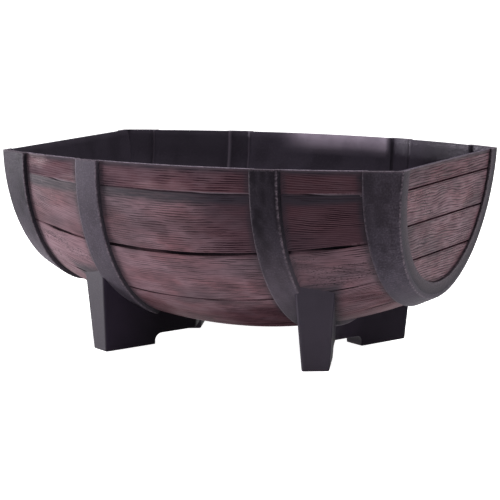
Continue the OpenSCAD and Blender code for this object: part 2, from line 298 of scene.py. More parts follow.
charcoal = {   # shared by the charcoal plastics, where a look doesn't give its own
    "sheen": (0.9, 0.75, 1.0),
    "shadow": 0.36,   # what is left of the colour in full shade
    "pebble": 900.0,
    "clouds": 0.2,
    "bump": 0.1,
    "shadeFrom": "shade",
    "cloudScale": 24.0,
    "specks": 0.1,
    "grit": 0.1,
}
finish = {
    "paint": {
        "grey": (0.051, 0.0305, 0.0385),
        "red": (0.074, 0.0315, 0.038),
        "pale": (0.098, 0.06, 0.073),
        # dark paint tone, also laid on as painted shade
        "shadeAndDarkPaint": (0.02, 0.0098, 0.0128),
        "line": (0.0075, 0.004, 0.0055),
        "bare": (0.0155, 0.0128, 0.0168),
        "cut": (0.0025, 0.0018, 0.0025),
        "wearAndHighlight": (0.09, 0.07, 0.083),
        "linePlace": 0.36,   # of a grain line within its pitch
        "wobble": 0.34,
    },
    "hoop": {
        "colour": (0.0233, 0.0193, 0.026), "wearAndHighlight": (0.082, 0.065, 0.078), "shadow": 0.15, "roughness": 0.62,
        "specular": 0.06, "pebble": 520.0, "specks": 0.34, "grit": 0.46, "clouds": 0.35, "bump": 0.7,
    },
    "frame": {
        "colour": (0.02, 0.0168, 0.0222), "wearAndHighlight": (0.085, 0.07, 0.09), "roughness": 0.55, "specular": 0.08,
    },
    # the sides of the leg arms, darkened by painted shade
    "frameSide": {
        "colour": (0.019, 0.014, 0.0235), "wearAndHighlight": (0.03, 0.025, 0.034), "shadow": 0.06,
        "shadeFrom": "sideShade", "roughness": 0.6, "specular": 0.035,
    },
    "inside": {
        # its last colour is painted light, for the lit band inside the tub
        "colour": (0.0335, 0.0275, 0.0388), "wearAndHighlight": (0.12, 0.098, 0.122), "paintedLight": (0.23, 0.188, 0.24),
        "sheen": (0.9, 0.78, 1.0), "roughness": 0.45, "specular": 0.2, "pebble": 500.0, "grit": 0.12,
        "clouds": 0.5, "bump": 0.2,
    },
    "rubber": {
        "colour": (0.016, 0.015, 0.0165), "wearAndHighlight": (0.04, 0.04, 0.042), "sheen": (1.0, 1.0, 1.0),
        "roughness": 0.8, "specular": 0.2, "pebble": 1400.0, "grit": 0.3, "clouds": 0.4, "bump": 0.3,
    },
    "steel": {"light": (0.4, 0.4, 0.41), "dull": (0.26, 0.26, 0.27)},
}
stavePaint = paintMaterial("stave paint", finish["paint"], 0.62)
headPaint = paintMaterial("head paint", finish["paint"], 0.6)
hoopPlastic = charcoalMaterial("pebbled charcoal", finish["hoop"])
framePlastic = charcoalMaterial("satin charcoal", finish["frame"])
frameSidePlastic = charcoalMaterial("shaded satin charcoal", finish["frameSide"])
tubPlastic = charcoalMaterial("bare tub charcoal", finish["inside"])
plugPlastic = charcoalMaterial("plug charcoal", finish["inside"])
washerRubber = charcoalMaterial("washer rubber", finish["rubber"])
screwSteel = steelMaterial("screw steel", finish["steel"])
print("materials made")


# Mesh helpers
def linkObject(name, data):
    thing = bpy.data.objects.new(name, data)
    bpy.context.scene.collection.objects.link(thing)
    return thing


def carryValues(mesh, values):   # values at the points, which the materials read
    for key, field in values.items():
        kind, place = ("FLOAT_VECTOR", "vector") if key == "board" else ("FLOAT", "value")
        layer = mesh.attributes.new(key, kind, "POINT")
        layer.data.foreach_set(place, np.asarray(field, dtype=np.float32).ravel())


def dressMesh(mesh, materials):
    for material in materials:
        mesh.materials.append(material)
    mesh.polygons.foreach_set("use_smooth", np.ones(len(mesh.polygons), dtype=bool))


def makeObject(name, points, faces, materials, values=None, kinds=None, sharp=42.0):
    mesh = bpy.data.meshes.new(name)
    mesh.from_pydata((np.asarray(points) * mm).tolist(), [], faces)
    dressMesh(mesh, materials)
    if kinds is not None:
        mesh.polygons.foreach_set("material_index", np.asarray(kinds, dtype=np.int32))
    carryValues(mesh, values or {})
    mesh.set_sharp_from_angle(angle=radians(sharp))
    mesh.update()
    return linkObject(name, mesh)


def gridFaces(ids, flip):   # quads of a grid of point numbers
    a, b, c, d = ids[:-1, :-1], ids[:-1, 1:], ids[1:, 1:], ids[1:, :-1]
    corners = [a, b, c, d] if flip else [a, d, c, b]
    return np.stack(corners, axis=-1).reshape(-1, 4).tolist()


def pointIds(grid, start=0):   # the numbers of a grid's points
    return start + np.arange(grid.size).reshape(grid.shape)


def closedAcross(ids):   # repeats the first column after the last
    return np.concatenate([ids, ids[:, :1]], axis=1)


def sideRing(outer, inner, keep, i, column):   # face between the two grids along a part of one column
    ring = list(outer[keep[i]:keep[i + 1] + 1, column]) + [inner[i + 1, column], inner[i, column]]
    return [int(n) for n in ring]


# A closed shell from a fine outer grid and a coarse inner one with the same columns
def shellFaces(outer, inner, keep):
    faces = gridFaces(outer, False) + gridFaces(inner, True)
    for row, flip in ((0, False), (-1, True)):
        faces += gridFaces(np.stack([outer[row], inner[row]]), flip)
    for column, step in ((0, -1), (-1, 1)):
        faces += [sideRing(outer, inner, keep, i, column)[::step] for i in range(len(keep) - 1)]
    return faces


def shellPoints(outer, inner):
    return np.concatenate([outer.reshape(-1, 3), inner.reshape(-1, 3)])


# Values at the points of a shell: a pair for the outer and inner grid, or one field for the outer grid only
def shellValues(outer, inner, board, fields):
    places = np.stack(np.broadcast_arrays(*board), axis=-1).reshape(-1, 3)
    made = {"board": np.concatenate([places, np.zeros((inner.size, 3))])}
    for key, field in fields.items():
        front, back = field if isinstance(field, tuple) else (field, 0.0)
        made[key] = np.append(np.broadcast_to(front, outer.shape), np.broadcast_to(back, inner.shape))
    return made


def rowField(rows, key, default=0.0):   # one value for each row of points, as a column
    return np.array([[row.get(key, default)] for row in rows])


# Leg frames, made after the heads. The tub is bared round them and the hoops get painted shadow over them.

legs = {
    "apexX": 91.0,
    "armAngle": 21.6,
    "armWidth": 30.4,
    "reach": 124.6,   # along the arm to the outer face
    "footIn": 52.0,   # along the arm to the inner end of the foot
    "faceTurn": 8.5,
    "innerDraft": 4.4,
    "outerDraft": 4.0,
    "faceDraft": 5.0,
    "bridge": 12.5,
    "bridgeRound": 8.0,
    "bridgePlaces": [0.0, 12.0, 24.0, 36.0],
    "footPlaces": [70.0, 88.0, 106.0],
    "topPlaces": [0.0, 12.0, 24.0, 36.0, 48.0, 58.0, 68.0, 78.0, 88.0, 98.0, 107.0, 116.0],
    "topGuess": 60.0,
    "topGap": 0.4,   # below the skin, clear of the channels inside the tub
    "cornerRound": 3.4,
    "edgeRound": 1.5,
}
armTurn = radians(legs["armAngle"])


def fromLegs(points):   # how far points lie outside the legs, measured level
    x, y, z = np.moveaxis(points, -1, 0)
    right, back = np.abs(x) - legs["apexX"], np.abs(y)
    along = right * sin(armTurn) + back * cos(armTurn)
    across = np.abs(right * cos(armTurn) - back * sin(armTurn))
    besideArm = across - legs["armWidth"] / 2 - z * slope(legs["outerDraft"])
    pastFace = along - legs["reach"] - z * slope(legs["faceDraft"])
    return np.maximum(besideArm, pastFace)


def armPoint(along, face, z):   # face is -1 towards the middle and 1 towards the end
    across = face * (legs["armWidth"] / 2 + z * slope(legs["innerDraft"] if face < 0 else legs["outerDraft"]))
    share = min(along / legs["footIn"], 1.0)
    reach = along + (1 - share) * across * tan(armTurn) - share * across * slope(legs["faceTurn"])
    if along >= legs["reach"]:
        reach += z * slope(legs["faceDraft"])
    x = legs["apexX"] + reach * sin(armTurn) + across * cos(armTurn)
    return x, reach * cos(armTurn) - across * sin(armTurn), z


def topPoint(along, face):
    z = legs["topGuess"]
    for _ in range(12):
        x, y, z = armPoint(along, face, z)
        z = skinHeight(x, y, 0.0) - legs["topGap"]
    return armPoint(along, face, z)


def makeLegFrame(name, node, side):
    soft, footIn, bridge = legs["bridgeRound"], legs["footIn"], legs["bridge"]
    under = [(a, bridge) for a in legs["bridgePlaces"]]
    for a in np.radians(np.linspace(90, 0, 7)):
        under.append((footIn - soft + soft * cos(a), bridge - soft + soft * sin(a)))
    foot = len(under)
    under += [(a, 0.0) for a in (footIn, *legs["footPlaces"], legs["reach"])]
    over = [*legs["topPlaces"], legs["reach"]]

    shape = bmesh.new()
    weight = shape.edges.layers.float.new("bevel_weight_edge")
    lightly = legs["edgeRound"] / legs["cornerRound"]
    middle = {}

    def corner(row, face, i, place):   # points on the middle plane are shared by both arms
        key = row, face, i
        if key in middle:
            return middle[key]
        vert = shape.verts.new([value * mm for value in (side * place[0], arm * place[1], place[2])])
        if i == 0:
            middle[key] = vert
        return vert

    def edge(a, b):
        return shape.edges.get((a, b))

    for arm in (1, -1):
        low, high = {}, {}
        for face in (-1, 1):
            low[face] = [corner("low", face, i, armPoint(a, face, z)) for i, (a, z) in enumerate(under)]
            high[face] = [corner("high", face, i, topPoint(a, face)) for i, a in enumerate(over)]
        loops = [[low[-1][i], low[-1][i + 1], low[1][i + 1], low[1][i]] for i in range(len(under) - 1)]
        loops += [[high[1][i], high[1][i + 1], high[-1][i + 1], high[-1][i]] for i in range(len(over) - 1)]
        loops.append([low[-1][-1], high[-1][-1], high[1][-1], low[1][-1]])
        loops += [low[1] + high[1][::-1], high[-1] + low[-1][::-1]]
        for i, loop in enumerate(loops):
            made = shape.faces.new(loop if arm * side > 0 else loop[::-1])
            made.material_index = 1 if i >= len(loops) - 2 else 0
        for face in (-1, 1):
            for a, b in zip(low[face], low[face][1:]):
                edge(a, b)[weight] = lightly
            edge(low[face][-1], high[face][-1])[weight] = 1.0
            for a, b in zip(high[face], high[face][1:]):
                edge(a, b).smooth = False
        edge(high[-1][-1], high[1][-1]).smooth = False
        for i in (foot, -1):
            edge(low[-1][i], low[1][i])[weight] = lightly
    edge(middle["low", -1, 0], middle["high", -1, 0])[weight] = 1.0
    bmesh.ops.recalc_face_normals(shape, faces=shape.faces[:])
    mesh = bpy.data.meshes.new(name)
    shape.to_mesh(mesh)
    shape.free()
    back = np.array([vertex.co.y for vertex in mesh.vertices]) / mm
    # Painted shade: the left frame darker all over, the right frame darker towards the back, the arm sides
    # darker still
    if side < 0:
        shade, sideShade = np.full(back.shape, 0.7), 0.4 + 0.55 * ramp(np.abs(back), 118.0, 45.0)
    else:
        shade, sideShade = 0.85 * ramp(back, 20.0, 50.0), 0.35 + 0.4 * ramp(back, 20.0, 50.0)
    carryValues(mesh, {"shade": shade, "sideShade": sideShade})
    dressMesh(mesh, [framePlastic, frameSidePlastic])
    legFrame = linkObject(name, mesh)
    rounding = legFrame.modifiers.new("soft edges", "BEVEL")
    rounding.limit_method = "WEIGHT"
    rounding.width = legs["cornerRound"] * mm
    rounding.segments = 4
    rounding.harden_normals = True
    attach(legFrame, "planter")
    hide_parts(node)


# Tub

staves = {
    # angle below the axis level, depth, ink and half width, from the front rim to the keel
    "grooves": [(6.0, 0.7, 0.5, 1.5), (27.4, 2.0, 1.0, 2.5), (48.8, 1.2, 0.8, 1.5), (70.2, 1.2, 0.75, 1.3),
                (90.0, 1.2, 0.6, 1.3)],
    "grainPitch": 2.9,
    "grainDepth": 0.34,
    "columnPitch": 3.6,
    "warp": 5.0,   # sideways wander of the grain
    "seed": 11,
    "rimRows": [dict(inset=0.7, drop=0.0), dict(inset=0.2, drop=0.15)],
    "insideStep": 7,   # outside rows for each row of the inside
    "drainCut": (-12.2, 11.4),   # hole in the grid, measured round from the keel
    "drainReach": 3,   # columns on each side of the middle
    "rightBayFrom": 120.0,   # under the right inner hoop
}
grooves = staves["grooves"] + [(180 - angle, *rest) for angle, *rest in staves["grooves"][-2::-1]]


def staveRows():   # one entry for each row of points, from the front rim round to the back rim
    rim = -degrees(asin(barrel["axisDrop"] / midRadius))
    bounds = [rim] + [groove[0] for groove in grooves] + [180 - rim]
    rows = [dict(row, top=np.nan, low=0.0, f=0.0) for row in staves["rimRows"]]
    lineCount, last = 0, len(grooves)
    for i in range(last + 1):
        top, low = bounds[i], bounds[i + 1]
        lines = round(radians(low - top) * midRadius / staves["grainPitch"])
        step = 2 if 70 < (top + low) / 2 < 110 else 3   # rows for each grain line, fewer under the belly
        total = lines * step
        ends = dict(top=top if i else np.nan, halfTop=grooves[i - 1][3] if i else 0.0,
                    low=low if i < last else np.nan, halfLow=grooves[i][3] if i < last else 0.0)
        for j in range(total + 1):
            rows.append(dict(ends, f=j / total, line=float(j % step == step // 2 and 0 < j < total),
                             lineId=lineCount + j / step, stave=i))
        lineCount += lines
        if i < last:
            angle, depth, ink, half = grooves[i]
            soft = i in (0, last - 1)   # the grooves under the rim get a painted highlight along their upper edge
            for shift in (-0.7, 0.0, 0.7):
                wearAndHighlight = soft and shift * (angle - 90) > 0
                share = 1.0 if shift == 0 else 0.85
                rows.append(dict(top=angle, low=angle, shift=shift * half, f=0.5, lineId=lineCount, stave=i,
                                 depth=depth * share, ink=0.0 if wearAndHighlight else ink * share, wearAndHighlight=float(wearAndHighlight)))
    return rows + [dict(row, top=0.0, low=np.nan, f=1.0) for row in staves["rimRows"][::-1]]


# Columns of the right half, then mirrored: outer place and height, inner place and height
def staveColumns():
    side, wall, land = barrel["hoopSide"], -barrel["wall"], barrel["landHeight"]
    channel, chime, rise = barrel["channelOff"], barrel["chimeOff"], barrel["stepRise"]
    headPlace = endCode + barrel["headDepth"] + 0.3

    def bay(start, end):
        count = round((end - start) / staves["columnPitch"])
        return [(x, 0.0, x, wall) for x in np.linspace(start, end, count + 1)]

    def landSide(x, way, reach):   # from the foot of a hoop on to its land
        return [(x + way * side, 0.0, x + way * (side - 0.5), wall),
                (x + way * side, land, x + way * (side + 1.0), wall + rise),
                (x + way * (side + reach), land, x + way * (side + 3.5), channel)]

    columns = bay(0.0, hoopIn) + landSide(hoopIn, 1, 3) + landSide(hoopOut, -1, 3)[::-1]
    columns += bay(hoopOut, hoopFrom) + landSide(hoopFrom, 1, 4)
    columns += [(endCode + 12.0, land, headPlace, channel), (endCode + 8.0, land, headPlace, chime),
                (endCode + 5.0, land, endCode + 0.8, chime), (endCode, 1.0, endCode, chime + rise)]
    return [(-a, b, -c, d) for a, b, c, d in columns[:0:-1]] + columns


# Coded places are found by walking in on the leaning end plane
def placeOnBarrel(places, offs, angleOf):
    places, offs = np.broadcast_arrays(places, offs)
    fromEnd, side = np.abs(places) >= endCode, np.sign(places)
    depth = np.abs(places) - endCode
    x = np.where(fromEnd, side * endGuess, places)
    for _ in range(7):
        z = axisZ - radiusAt(x, offs) * np.sin(angleOf(x, offs))
        x = np.where(fromEnd, side * endPlaneX(z, depth), x)
    return x, angleOf(x, offs)


rows = staveRows()
columns = np.array(staveColumns())
outerPlaces, outerOff, innerPlaces, innerOff = columns.T
inset, line, lineId, stave, f = (rowField(rows, key) for key in ("inset", "line", "lineId", "stave", "f"))


def rowAngle(warp):   # gives each row's angle along the barrel, with the wander of the grain
    top, low, shift = (rowField(rows, key) for key in ("top", "low", "shift"))
    drop = rowField(rows, "drop", barrel["rimRound"])
    halfTop, halfLow = rowField(rows, "halfTop"), rowField(rows, "halfLow")
    atRim = np.isnan(top) | np.isnan(low)

    def angleOf(x, off):
        rim, reach = rimAngle(x, off, drop), np.abs(x)
        high = np.where(np.isnan(top), rim, np.radians(top) + halfTop / midRadius)
        bottom = np.where(np.isnan(low), np.pi - rim, np.radians(low) - halfLow / midRadius)
        wander = gridNoise(x / 75 + 3 * stave, f * 2.2 + 7 * stave, staves["seed"]) - 0.5
        wander += 0.35 * (gridNoise(x / 22, f * 7 + 5 * stave, staves["seed"] + 1) - 0.5)
        slant = 2.6 * np.clip((reach - hoopOut) / 80, 0, 1) - 1.2   # the end bays' grain runs askew
        wander = (wander + np.where(reach > hoopOut, slant, 0.0) * np.sign(x) * 1.15) * 4 * f * (1 - f)
        wander *= ramp(reach, 226.0, hoopFrom) * np.where(atRim, 0.5, 1.0)
        wander *= np.where((stave == 4) | (stave == 5), ramp(reach, 18.0, 45.0), 1.0)   # calm round the drain
        return high + (bottom - high) * f + warp * wander / midRadius + shift / radiusAt(x, off)
    return angleOf


outerX, outerAngle = placeOnBarrel(outerPlaces, outerOff - inset, rowAngle(staves["warp"]))
arcPlace = outerAngle * midRadius

# How far into a bay a point lies, so that paint and grain fade out at the hoops and the rim
absX = np.abs(outerX)
inMiddle = absX <= hoopIn
inSide = (absX >= hoopOut) & (absX <= hoopFrom)
inBay = inMiddle | inSide
toSide = np.where(inSide, np.minimum(absX - hoopOut, hoopFrom - absX), 0.0)
toHoop = np.where(inMiddle, hoopIn - absX, toSide)
rimHere = rimAngle(outerX, outerOff, 0.0)
toRim = np.minimum(outerAngle - rimHere, np.pi - rimHere - outerAngle) * radiusAt(outerX, outerOff)
edgeFade = ramp(toHoop, 0.0, 3.0) * ramp(toRim, 0.5, 3.0)
down = degreesDown(outerAngle)
rightBay = outerX > staves["rightBayFrom"]

# Grain lines, grooves and soft waves, and how strongly each is drawn
lineNumber = np.floor(lineId + 0.01)
dash = gridNoise(outerX / 15 + 5.3 * lineNumber, lineNumber + 0 * outerX, 21)
clump = layeredNoise(outerX / 46 + 31, arcPlace / 20, 31)
calm = ramp(90 - down, 6.0, 30.0) * 0.7 + 0.3
strength = (0.12 + 0.88 * ramp(dash, 0.36, 0.56)) * (0.15 + 0.85 * ramp(clump, 0.38, 0.54)) * calm * edgeFade
strength *= 0.6 + 0.4 * ramp(outerX, -60.0, 60.0)
broken = gridNoise(outerX / 40, stave * 3.1 + 0 * outerX, 41)
# grooves inked as dark joints, with painted shade making them heavier in the right bay
grooveShare = rowField(rows, "ink") * np.clip(0.85 + 0.3 * broken + 0.35 * rightBay, 0, 1.3)
grooveCut = rowField(rows, "depth") * (0.85 + 0.2 * broken) * (toHoop > 0)
flow = 0.22 * layeredNoise(outerX / 45, arcPlace / 14, 51) * edgeFade
burr = 0.3 * gridNoise(outerX / 2.3, 0 * outerX + 4.5, 61) * (inset > 0)
sink = np.where(inBay, staves["grainDepth"] * line * strength + grooveCut + flow, 0.0) + burr
outerPoints = turnedPoint(outerX, outerOff - inset - sink, outerAngle)
strength *= np.where((down < 6) & rightBay, 0.3, 1.0)

# Colour fields of the paint, with limits in degrees down or in millimetres
fromFirst = np.minimum(arcPlace, np.pi * midRadius - arcPlace) - radians(6.0) * midRadius
cloud = layeredNoise(outerX / 38 + 3, arcPlace / 16, 71)
band = ramp(fromFirst, -2.0, 1.0) * ramp(fromFirst + 9 * (cloud - 0.5), 19.0, 9.0)
haze = ramp(layeredNoise(outerX / 70 + 9, arcPlace / 40, 81), 0.5, 0.72)
nearHoop = ramp(toHoop, 9.0, 1.0) * (0.45 + 0.7 * cloud)
nearRim = ramp(toRim, 9.0, 1.5) * (0.4 + 0.8 * cloud)
legGap = fromLegs(outerPoints)
nearLegs = np.maximum(ramp(legGap, 13.0, 1.0) * (0.55 + 0.6 * cloud), ramp(legGap, 4.5, 1.5))
bare = np.clip(np.maximum.reduce([band, 0.35 * haze, nearHoop, nearRim, nearLegs]), 0, 1)
# painted shade: darker upper staves towards the right, under the belly and at the left end; darker paint
# under the rim
topStrip, upperStaves = ramp(down, 7.0, 5.0), ramp(down, 31.0, 25.0)
belly = ramp(down, 47.0, 58.0) * (0.3 + 0.35 * ramp(outerX, -40.0, 60.0) * ~rightBay)
leftEnd = 0.13 * ramp(-outerX, 110.0, 140.0) * ramp(down, 5.0, 7.0) * upperStaves
rightSide = ramp(outerX, -30.0, 115.0) * upperStaves * (0.75 + 0.25 * cloud)
shadeAndDarkPaint = np.maximum.reduce([rightSide, belly, leftEnd]) * ((down > 6) | ~rightBay)
shadeAndDarkPaint = np.maximum(shadeAndDarkPaint, topStrip * np.where(rightBay, 0.84, 0.5 * ramp(cloud, 0.1, 0.6)))
tone = np.clip(1.9 * layeredNoise(outerX / 42, arcPlace / 20, 91) - 0.5, 0, 1)
tone = np.maximum.reduce([tone, ramp(down, 47.0, 55.0), topStrip * rightBay])
# painted light: paler paint between 27 and 62 degrees down, strongest in the left bay, varied at random
paleToneAndPaintedLight = ramp(down, 26.5, 30.0) * ramp(down, 62.0, 46.0) * (0.6 + 0.4 * cloud)
paleToneAndPaintedLight *= 0.17 + 0.66 * ramp(-outerX, 40.0, 150.0) + 0.14 * rightBay
fleck = inSide * ramp(down, 27.0, 33.0) * ramp(down, 50.0, 44.0) * ramp(cloud, 0.4, 0.6) * edgeFade
# pale rim and groove edges: part wear, part painted highlight
rimEdge = 0.8 * ramp(inset, 0.0, 0.2) + 0.25 * ramp(toRim, 3.0, 0.5)
rimEdge += rowField(rows, "wearAndHighlight") * (0.5 + 0.5 * cloud)

# Inner wall from a part of the rows
rowCount, middleColumn = len(rows), len(columns) // 2
fromKeel = (outerAngle[:, middleColumn] - np.pi / 2) * midRadius
topRow, lowRow = (int(np.argmax(fromKeel > limit)) for limit in staves["drainCut"])
firstColumn, lastColumn = middleColumn - staves["drainReach"], middleColumn + staves["drainReach"]
rest = [i for i in range(9, rowCount - 8, staves["insideStep"]) if min(abs(i - topRow), abs(i - lowRow)) > 2]
keepRows = sorted([0, 1, 2, rowCount - 3, rowCount - 2, rowCount - 1, topRow, lowRow, *rest])
innerX, innerAngle = placeOnBarrel(innerPlaces, innerOff + inset, rowAngle(0.0))
innerX = innerX[keepRows]
innerPoints = turnedPoint(innerX, (innerOff + inset)[keepRows], innerAngle[keepRows])
innerEdge = np.maximum(0.5 * (innerOff < barrel["chimeOff"] + 1), 0.7 * ramp(inset[keepRows], 0.0, 0.2))
onStep = np.isclose(innerOff, barrel["stepRise"] - barrel["wall"])
# Painted light: pale band under the back rim, pale channel steps on the left; painted shade: both ends, right
# steps
rimPaintedLight = ramp(rimZ - innerPoints[..., 2], 24.0, 8.0) * ramp(innerX, -60.0, -20.0)
innerPaintedLight = np.maximum(rimPaintedLight * ramp(innerX, 92.5, 91.0), 0.2 * (onStep & (outerPlaces < 0)))
innerShade = np.maximum(ramp(innerX, 124.0, 165.0), 0.7 * ramp(-innerX, 90.0, 120.0))
innerShade = np.maximum(innerShade, onStep & (outerPlaces > 0))

outerIds = pointIds(outerX)
innerIds = pointIds(innerX, outerIds.size)
tubFaces = shellFaces(outerIds, innerIds, keepRows)
paintedQuads = (inBay[:-1, :-1] & inBay[1:, 1:] & (inset[:-1] == 0) & (inset[1:] == 0)).ravel()
tubKinds = np.ones(len(tubFaces), dtype=int)   # 0 is painted, 1 is bare and 2 is pebbled
quadCount = paintedQuads.size
tubKinds[:quadCount] = ~paintedQuads
atEnds = np.abs(innerPlaces) >= endCode
endQuads = np.tile(atEnds[:-1] & atEnds[1:], len(keepRows) - 1)
tubKinds[quadCount:quadCount + endQuads.size] = 1 + endQuads
tubKinds[-2 * (len(keepRows) - 1):] = 2

# The hole for the drain is left out of both grids, and closed with a wall between them
innerTop, innerLow = keepRows.index(topRow), keepRows.index(lowRow)
solid = np.ones(len(tubFaces), dtype=bool)
for start, end, offset in ((topRow, lowRow, 0), (innerTop, innerLow, quadCount)):
    for i in range(start, end):
        first = offset + i * (len(columns) - 1) + firstColumn
        solid[first:first + 2 * staves["drainReach"]] = False
tubFaces = [face for face, kept in zip(tubFaces, solid) if kept]
tubKinds = tubKinds[solid].tolist()
for i, k, step in ((topRow, innerTop, 1), (lowRow, innerLow, -1)):
    for c in range(firstColumn, lastColumn):
        ring = [outerIds[i, c + 1], outerIds[i, c], innerIds[k, c], innerIds[k, c + 1]]
        tubFaces.append([int(n) for n in ring[::step]])
for c, step in ((firstColumn, 1), (lastColumn, -1)):
    tubFaces += [sideRing(outerIds, innerIds, keepRows, k, c)[::step] for k in range(innerTop, innerLow)]
tubKinds += [1] * (len(tubFaces) - len(tubKinds))
tubValues = shellValues(outerIds, innerIds, (outerX * mm, lineId, stave), {
    "grain": strength, "groove": grooveShare, "fleck": fleck, "shadeAndDarkPaint": shadeAndDarkPaint, "paleToneAndPaintedLight": paleToneAndPaintedLight, "tone": tone,
    "bare": (bare, 1.0),
    "edge": (rimEdge, innerEdge),
    "paintedLight": (0.0, innerPaintedLight),
    # painted shade: the tub's end faces, and the inside as set above
    "shade": (0.55 * (np.abs(outerPlaces) >= endCode), innerShade),
})
tub = makeObject("tub_wall", shellPoints(outerPoints, innerPoints), tubFaces,
                 [stavePaint, tubPlastic, hoopPlastic], tubValues, tubKinds)
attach(tub, "planter")
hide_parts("tub")
print("tub made:", rowCount, "rows and", len(columns), "columns")

# Hoops

hoops = {
    "slope": 2.0,   # how far a side wall leans in from foot to top
    "topRound": 1.3,
    "endRound": 1.8,   # soft outer edge at the end face
    "rimInset": 0.4,
    "sink": 0.4,   # foot let into the staves
    "ripple": 0.22,
    "rows": 260,
    "flankShade": 0.53,   # painted shade on the walls that face right
    "legShade": 0.95,   # painted shadow above the legs
    "lightWall": 4.0,   # height from which a point counts as the top
}
hoopLand, hoopFoot = barrel["landHeight"] + barrel["landGap"], -hoops["sink"]


def bend(a, corner, b, count=5):   # soft corner from a to b
    t = np.linspace(0, 1, count)[:, None]
    a, corner, b = np.array(a), np.array(corner), np.array(b)
    return ((1 - t) ** 2 * a + 2 * t * (1 - t) * corner + t ** 2 * b).tolist()


def hoopSide(foot, lean, inset):   # sloped wall from the foot up to the top, with its soft edge
    height, soft = barrel["hoopHeight"] - inset, hoops["topRound"]
    sign = 1 if lean > 0 else -1
    foot += sign * inset
    top = foot + lean
    shoulder = (foot + lean * (height - soft) / height, height - soft)
    return [(foot, hoopFoot), (foot, 0.0)] + bend(shoulder, (top, height), (top + sign * soft, height))


def innerHoopSection(inset):
    left, right = hoopSide(hoopIn, hoops["slope"], inset), hoopSide(hoopOut, -hoops["slope"], inset)
    height = barrel["hoopHeight"] - inset
    start, end = hoopIn + barrel["hoopSide"], hoopOut - barrel["hoopSide"]
    low, high = left[-1][0], right[-1][0]
    top = [(x, height) for x in (low + 1, *np.linspace(low, high, 7)[1:-1], high - 1)]
    return left + top + right[::-1] + [(end, hoopFoot), (end, hoopLand), (start, hoopLand), (start, hoopFoot)]


def endHoopSection(inset):
    left = hoopSide(hoopFrom, hoops["slope"], inset)
    height, soft = barrel["hoopHeight"] - inset, hoops["endRound"]
    start = hoopFrom + barrel["hoopSide"]
    top = [(x, height) for x in (left[-1][0] + 1, 218.0, 224.0, endCode + 12.0, endCode + 9.0)]
    edge = bend((endCode + soft, height), (endCode, height), (endCode, height - soft), 8)
    under = [(endCode, 1.05), (endCode + 5.0, hoopLand), (start, hoopLand), (start, hoopFoot)]
    return left + top + edge + under


# In a look, dim sets the painted shade near the rim, and the rest a painted sheen (a paler colour standing
# in for light) that may grow from one angle to another
def makeHoop(name, node, section, side, seed, look):
    full, count = np.array(section(0.0)), hoops["rows"]
    places = np.repeat(full[None], count + 3, axis=0)
    places[[0, -1]] = section(hoops["rimInset"])
    f = np.concatenate([[0], np.linspace(0, 1, count + 1), [1]])[:, None]
    drop = np.full((count + 3, 1), hoops["rimInset"])
    drop[[0, -1]] = 0.0

    def angleOf(x, off):
        rim = rimAngle(x, off, drop)
        return rim + (np.pi - 2 * rim) * f

    off = places[..., 1].copy()
    x, angle = placeOnBarrel(places[..., 0] * side, off, angleOf)
    arc = angle * midRadius
    upper = np.clip((off - 1.5) / 2.5, 0, 1) * (drop > 0)
    off -= hoops["ripple"] * upper * layeredNoise(x / 9 + seed, arc / 13, seed)
    points = turnedPoint(x, off, angle)
    ids = pointIds(off)
    caps = [ids[0].tolist(), ids[-1][::-1].tolist()]
    faces = gridFaces(closedAcross(ids), side < 0) + [cap if side < 0 else cap[::-1] for cap in caps]

    # Pale edges, part wear and part painted highlight and paler on the sides that face right, then painted
    # shade, with both sides of a hoop told apart at its middle
    along, height = full.T
    facesRight = side * (along - np.median(along)) > 0
    corner = np.exp(-((height - barrel["hoopHeight"] + 0.4) / 0.5) ** 2) * (height > 2)
    paleEdge = np.where(np.abs(np.gradient(height)) < 0.02, 0.0, corner)
    paleEdge = np.maximum(paleEdge, 0.08 * ((along >= endCode) & (height > 2)))
    paleEdge *= np.where(facesRight, 0.85, 0.35)
    edge = paleEdge * (0.25 + 0.75 * ramp(np.random.default_rng(seed + 9).random((len(off), 1)), 0.2, 0.7))
    edge[[0, -1]] = 0.9
    edge[[1, -2]] = np.maximum(edge[[1, -2]], 0.35)
    down = degreesDown(angle)
    # painted shade: darker towards the top, on walls facing right and over the legs, with random streaks
    shade = look["dim"] * ramp(down, 66.0, 6.0) * (0.85 + 0.15 * layeredNoise(x / 14, arc / 9, seed))
    flank = facesRight & (off < hoops["lightWall"]) & (np.abs(x) < barrel["endHoopTo"])
    overLegs = ramp(fromLegs(points), 12.0, 1.0) * ramp(down, 54.0, 64.0)
    shade = np.maximum.reduce([shade, hoops["flankShade"] * flank, hoops["legShade"] * overLegs])
    streak = (ramp(layeredNoise(x / 2.6, arc / 26, seed + 5), 0.48, 0.6) - 0.5) * (off > hoops["lightWall"])
    # painted sheen, left off over the legs
    paintedSheen = look["paintedSheen"] * (ramp(down, *look["paintedSheenOver"]) if "paintedSheenOver" in look else 1.0)
    hoop = makeObject(name, points.reshape(-1, 3), faces, [hoopPlastic], {
        "edge": edge, "paintedLight": paintedSheen * (1 - overLegs), "shade": np.clip(shade + 0.3 * streak, 0, 1)})
    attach(hoop, "planter")
    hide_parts(node)


makeHoop("end_band_left", "left_end_hoop", endHoopSection, -1, 101,
         {"dim": 0.81, "paintedSheen": 0.2, "paintedSheenOver": (28.0, 48.0)})
makeHoop("inner_band_left", "left_inner_hoop", innerHoopSection, -1, 111, {"dim": 0.0, "paintedSheen": 0.06})
makeHoop("inner_band_right", "right_inner_hoop", innerHoopSection, 1, 121,
         {"dim": 1.0, "paintedSheen": 0.26, "paintedSheenOver": (12.0, 52.0)})
makeHoop("end_band_right", "right_end_hoop", endHoopSection, 1, 131,
         {"dim": 0.69, "paintedSheen": 0.045, "paintedSheenOver": (30.0, 10.0)})
print("hoops made")

# Heads

